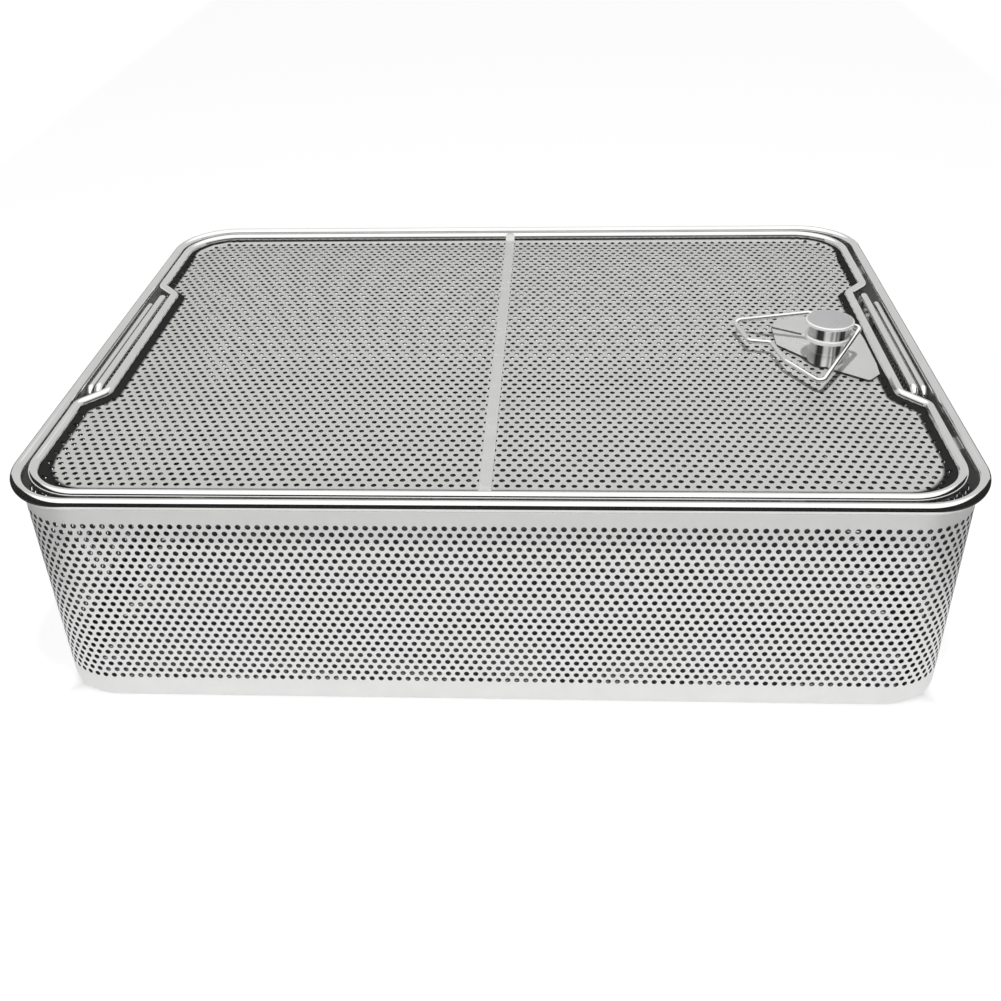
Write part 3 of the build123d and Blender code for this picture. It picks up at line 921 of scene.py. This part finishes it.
def make_plate():
    """Lock plate with a pressed crease from its left corner towards the housing."""
    corners = [(x + LOCK.x, y + LOCK.y, 0) for x, y in PLATE_OUTLINE]
    border = subdivided(rounded(corners, PLATE_BEND, True), PLATE_STEP, True)
    outline = np.array([tuple(p)[:2] for p in border])
    bore = circle(LOCK, SHAFT_BORE, 24)
    start = np.array([LOCK.x + CREASE_START[0], LOCK.y + CREASE_START[1]])
    stop = np.array([LOCK.x + CREASE_END[0], LOCK.y + CREASE_END[1]])
    length = np.linalg.norm(stop - start)
    run = (stop - start) / length
    side = np.array([-run[1], run[0]])
    lines = []
    for offset in np.linspace(-CREASE_HALF, CREASE_HALF, 5):
        lines.append(start + side * offset + run * np.linspace(1.0, length, 24)[:, None])
    edges = loop_edges(0, len(outline)) + loop_edges(len(outline), len(bore))
    flat, triangles = triangulated(np.concatenate([outline, bore, *lines]), edges)
    middle = flat[triangles].mean(1)
    triangles = triangles[inside(middle, outline) & ~inside(middle, bore)]

    def top(flat):
        away = np.abs((flat - start) @ side)
        along = (flat - start) @ run
        on = (along > 0) & (along < length + 0.1)
        sink = CREASE_DEPTH * np.clip(1 - away / CREASE_HALF, 0, 1) * on
        return np.column_stack([flat, PLATE_TOP - sink])

    middle = flat[triangles].mean(1)
    along = (middle - start) @ run
    on = (np.abs((middle - start) @ side) < CREASE_HALF) & (along > 0) & (along < length)
    points, faces = thickened(flat, [triangles[~on], triangles[on]], top, level(PANEL_TOP + HAIR))
    # The crease and the plate's edge walls near black: painted shade in the crease and under the plate's edge
    return new_object("plate_sheet", points, faces, 12.0, looks=(0, 1, 0, 0, 1))


dress(make_plate(), "lid", "plain_sheet", (plain_steel, inner_shade_steel), "lock_plate")

housing_profile = [
    (SHAFT_BORE, PLATE_TOP + HAIR), (HOUSING_R, PLATE_TOP + HAIR), (HOUSING_R, HOUSING_MIDDLE),
    (HOUSING_R - HOUSING_STEP, HOUSING_MIDDLE + HOUSING_STEP), (HOUSING_R - HOUSING_STEP, HOUSING_TOP),
    (SHAFT_BORE, HOUSING_TOP), (SHAFT_BORE, PLATE_TOP + HAIR),
]
dress(revolved("housing", housing_profile, LOCK), "lid", "turned_steel", (turned_steel,), "lock_housing")

# The flange in near-white steel: a painted highlight
flange_profile = disc_profile(FLANGE_R, FLANGE_BOTTOM, FLANGE_TOP, DISC_CHAMFER, DISC_ROUND)
dress(revolved("knob_flange", flange_profile, LOCK), "knob", "turned_steel", (ring_highlight_steel,), "lock_knob")

neck_profile = [(0, FLANGE_TOP), (NECK_R, FLANGE_TOP), (NECK_R, NECK_TOP), (0, NECK_TOP)]
dress(revolved("knob_neck", neck_profile, LOCK), "knob", "turned_steel", (turned_steel,))

cap_profile = disc_profile(CAP_R, NECK_TOP, CAP_TOP, DISC_CHAMFER, DISC_ROUND)
# The cap's edge in near-white steel, a painted highlight, and its flat faces in a darker grey steel
cap = revolved("cap_disc", cap_profile, LOCK, looks=(1, 0))
dress(cap, "knob", "turned_steel", (cap_steel, ring_highlight_steel), "lock_cap")

hinge_run = Vector((cos(radians(BAIL_HEADING)), sin(radians(BAIL_HEADING)), 0))
hinge_back = Vector((-hinge_run.y, hinge_run.x, 0))
hinge = Vector((LOCK.x, LOCK.y, BAIL_Z)) + hinge_back * BAIL_BACK


def make_ear():
    """Ear behind the neck: round outside, square towards the neck, with the bail's bore."""
    points = []
    count = 48
    for half in (-EAR_HALF, EAR_HALF):
        for outer in (True, False):
            for k in range(count):
                a = 2 * pi * k / count
                u, v = cos(a), sin(a)
                reach = BAIL_BORE
                if outer:
                    reach = EAR_R if u >= 0 else EAR_R / max(abs(u) / 2, abs(v))
                points.append(hinge + hinge_run * half + hinge_back * u * reach + Vector((0, 0, v * reach)))
    k = np.arange(count)
    m = (k + 1) % count
    outer_a, inner_a, outer_b, inner_b = 0, count, 2 * count, 3 * count
    faces = np.concatenate([
        np.stack([outer_a + k, outer_a + m, inner_a + m, inner_a + k], 1),
        np.stack([outer_b + m, outer_b + k, inner_b + k, inner_b + m], 1),
        np.stack([outer_a + m, outer_a + k, outer_b + k, outer_b + m], 1),
        np.stack([inner_a + k, inner_a + m, inner_b + m, inner_b + k], 1),
    ])
    return new_object("knob_ear", [tuple(p) for p in points], [faces])


dress(make_ear(), "knob", "turned_steel", (wire_steel,))

# The pin end in near-white steel: a painted glint
pin_place = Vector((LOCK.x, LOCK.y, PIN_Z)) + Vector((PIN_X, PIN_Y, 0))
pin_profile = [(PIN_R * sin(a), PIN_Z - PIN_R * cos(a)) for a in np.linspace(0, pi, 13)]
dress(revolved("knob_pin", pin_profile, pin_place, 24, 60.0), "knob", "turned_steel", (ring_highlight_steel,))

bail_corners = [Vector((LOCK.x + x, LOCK.y + y, BAIL_LOW)) for x, y in BAIL_FAR]
bail_corners = [hinge - hinge_run * BAIL_LEFT, *bail_corners, hinge + hinge_run * BAIL_RIGHT]
bail = wire("bail_wire", bail_corners, BAIL_BEND, BAIL_R, True, longest=3.0, sides=24, step=5.0)
dress(bail, "bail", "polished_wire", (wire_steel,), "lock_bail")


# Camera

CAMERA_PLACE = (0.03393, -0.6510, 0.44286)
CAMERA_PITCH, CAMERA_YAW, CAMERA_ROLL = 33.556, 3.405, -1.548
FOCAL_PIXELS, IMAGE_PIXELS, SENSOR = 1150.0, 1001.0, 36.0

camera_data = bpy.data.cameras.new("camera")
camera_data.sensor_width = SENSOR
camera_data.lens = FOCAL_PIXELS / IMAGE_PIXELS * SENSOR
camera = bpy.data.objects.new("camera", camera_data)
bpy.context.scene.collection.objects.link(camera)
turn = Matrix.Rotation(radians(CAMERA_YAW), 4, "Z")
tilt = Matrix.Rotation(radians(90 - CAMERA_PITCH), 4, "X")
roll = Matrix.Rotation(radians(CAMERA_ROLL), 4, "Z")
camera.matrix_world = Matrix.Translation(CAMERA_PLACE) @ turn @ tilt @ roll
bpy.context.scene.camera = camera

# Floor: white to the camera, with a painted shadow where its glow fades out under and just behind the basket
# over the real shadow, plain pale ground for the light

FLOOR_REACH, FLOOR_DROP = 6.0, 0.0003
FLOOR_ALBEDO, FLOOR_CAMERA_ALBEDO, FLOOR_CAMERA_GLOW = 0.8, 0.15, 0.93
# Where the glow fades out near the basket's foot and behind it: a painted shadow
NEAR_LOW, NEAR_HIGH, FAR_LOW, FAR_HIGH = -0.030, 0.001, 0.1, 0.5
BACK_SHADE, BACK_RATE = 0.035, 0.25
MIRRORED_LIGHT, MIRRORED_DARK, MIRRORED_FROM, MIRRORED_TO = 0.92, 0.05, 0.30, 0.36
MIRRORED_FRONT, MIRRORED_FULL = -1.5, -0.9


def diffuse(tree, tone):
    node = tree.nodes.new("ShaderNodeBsdfDiffuse")
    node.inputs["Color"].default_value = (tone, tone, tone, 1)
    return node.outputs[0]


def glowing(tree, strength):
    node = tree.nodes.new("ShaderNodeEmission")
    link(tree, strength, node.inputs["Strength"])
    return node.outputs[0]


def chosen(tree, share, a, b):
    """Shader a where the share is nought, shader b where it is one."""
    node = tree.nodes.new("ShaderNodeMixShader")
    for slot, value in zip(node.inputs, (share, a, b)):
        link(tree, value, slot)
    return node.outputs[0]


def floor_look():
    """Floor that glows all round the basket's foot, less so behind it, and keeps its shadow; the glow fades
    to none under the basket and rises slowly behind it, a painted shadow.
    """
    material = bpy.data.materials.new("studio_floor")
    material.use_nodes = True
    tree = material.node_tree
    tree.nodes.clear()
    path = tree.nodes.new("ShaderNodeLightPath")
    place = tree.nodes.new("ShaderNodeNewGeometry")
    parts = tree.nodes.new("ShaderNodeSeparateXYZ")
    link(tree, place.outputs["Position"], parts.inputs["Vector"])
    side_away = maths(tree, "ABSOLUTE", parts.outputs["X"])
    past_side = maths(tree, "SUBTRACT", side_away, WALL_X * MM)
    past_front = maths(tree, "MULTIPLY_ADD", parts.outputs["Y"], -1.0, -WALL_Y * MM)
    back_start = WALL_Y * MM + BACK_SHADE
    past_back = maths(tree, "MULTIPLY_ADD", parts.outputs["Y"], BACK_RATE, -BACK_RATE * back_start)
    past = maths(tree, "MAXIMUM", past_side, maths(tree, "MAXIMUM", past_front, past_back))
    # Painted shadow: no glow under the basket, a slow rise just behind it
    near_glow = between(tree, past, NEAR_LOW, NEAR_HIGH, 0.0, FLOOR_CAMERA_GLOW)
    far_glow = between(tree, past, FAR_LOW, FAR_HIGH)
    seen = tree.nodes.new("ShaderNodeAddShader")
    link(tree, diffuse(tree, FLOOR_CAMERA_ALBEDO), seen.inputs[0])
    link(tree, glowing(tree, maths(tree, "MAXIMUM", near_glow, far_glow)), seen.inputs[1])
    paper = between(tree, side_away, MIRRORED_FROM, MIRRORED_TO, MIRRORED_LIGHT, MIRRORED_DARK)
    in_reach = between(tree, parts.outputs["Y"], MIRRORED_FRONT, MIRRORED_FULL)
    mirrored = glowing(tree, maths(tree, "MULTIPLY", paper, in_reach))
    unseen = chosen(tree, path.outputs["Is Glossy Ray"], diffuse(tree, FLOOR_ALBEDO), mirrored)
    shown = chosen(tree, path.outputs["Is Camera Ray"], unseen, seen.outputs[0])
    output = tree.nodes.new("ShaderNodeOutputMaterial")
    link(tree, shown, output.inputs["Surface"])
    return material


def studio_piece(name, points, faces, material):
    mesh = bpy.data.meshes.new(name)
    mesh.from_pydata(points, [], faces)
    mesh.materials.append(material)
    piece = bpy.data.objects.new(name, mesh)
    bpy.context.scene.collection.objects.link(piece)
    return piece


floor_points = [
    (-FLOOR_REACH, -FLOOR_REACH, 0), (FLOOR_REACH, -FLOOR_REACH, 0),
    (FLOOR_REACH, FLOOR_REACH, 0), (-FLOOR_REACH, FLOOR_REACH, 0),
]
floor = studio_piece("studio_floor", floor_points, [(0, 1, 2, 3)], floor_look())
floor.location.z = -FLOOR_DROP

# Dark card round the front, which only the steel shows

CARD_SIDE, CARD_FRONT, CARD_BACK, CARD_TOP, CARD_BEND = 0.52, 0.42, 0.06, 0.40, 0.15
CARD_TONE = 0.02

card_path = [
    (-CARD_SIDE, CARD_BACK, 0), (-CARD_SIDE, -CARD_FRONT, 0),
    (CARD_SIDE, -CARD_FRONT, 0), (CARD_SIDE, CARD_BACK, 0),
]
card_low = [tuple(p) for p in rounded(card_path, CARD_BEND, False)]
card_high = [(x, y, CARD_TOP) for x, y, _ in card_low]
n = len(card_low)
card_faces = [(i, i + 1, i + 1 + n, i + n) for i in range(n - 1)]
card_material, _, card_shader = node_material("dark_card")
card_shader.inputs["Base Color"].default_value = (CARD_TONE, CARD_TONE, CARD_TONE, 1)
card_shader.inputs["Roughness"].default_value = 1.0
card = studio_piece("dark_card", card_low + card_high, card_faces, card_material)
card.visible_camera = False
card.visible_diffuse = False
card.visible_shadow = False

# Light: bright from above, pale behind, as the steel shows it

SKY_ABOVE, SKY_BEHIND = 1.35, 0.72
SKY_TURN_LOW, SKY_TURN_HIGH = 0.55, 0.75
SKY_SOFT_LEVEL, SKY_SOFT_TOP = 2.55, 0.45

world = bpy.data.worlds.new("studio")
bpy.context.scene.world = world
world.use_nodes = True
sky = world.node_tree
background = sky.nodes["Background"]
sky_coords = sky.nodes.new("ShaderNodeTexCoord")
split = sky.nodes.new("ShaderNodeSeparateXYZ")
link(sky, sky_coords.outputs["Generated"], split.inputs["Vector"])
height = split.outputs["Z"]
bright = between(sky, height, SKY_TURN_LOW, SKY_TURN_HIGH, SKY_BEHIND, SKY_ABOVE)
sky_soft = between(sky, height, 0.0, SKY_SOFT_TOP, SKY_SOFT_LEVEL, 0.0)
sky_path = sky.nodes.new("ShaderNodeLightPath")
sky_light = mixed(sky, sky_path.outputs["Is Glossy Ray"], sky_soft, bright)
sky_shown = mixed(sky, sky_path.outputs["Is Camera Ray"], sky_light, 1.0)
link(sky, sky_shown, background.inputs["Strength"])
background.inputs["Color"].default_value = (1, 1, 1, 1)

LAMP_SIZE, LAMP_POWER, LAMP_PLACE = 0.08, 17.5, (0.10, -0.48, 1.6)
lamp_data = bpy.data.lights.new("overhead_lamp", "AREA")
lamp_data.size = LAMP_SIZE
lamp_data.energy = LAMP_POWER
lamp = bpy.data.objects.new("overhead_lamp", lamp_data)
lamp.location = LAMP_PLACE
lamp.rotation_euler = (Vector(LAMP_PLACE) - Vector((0, 0, RIM_Z * MM))).to_track_quat("Z", "Y").to_euler()
lamp.visible_glossy = False
bpy.context.scene.collection.objects.link(lamp)

bpy.context.scene.view_settings.view_transform = "Standard"
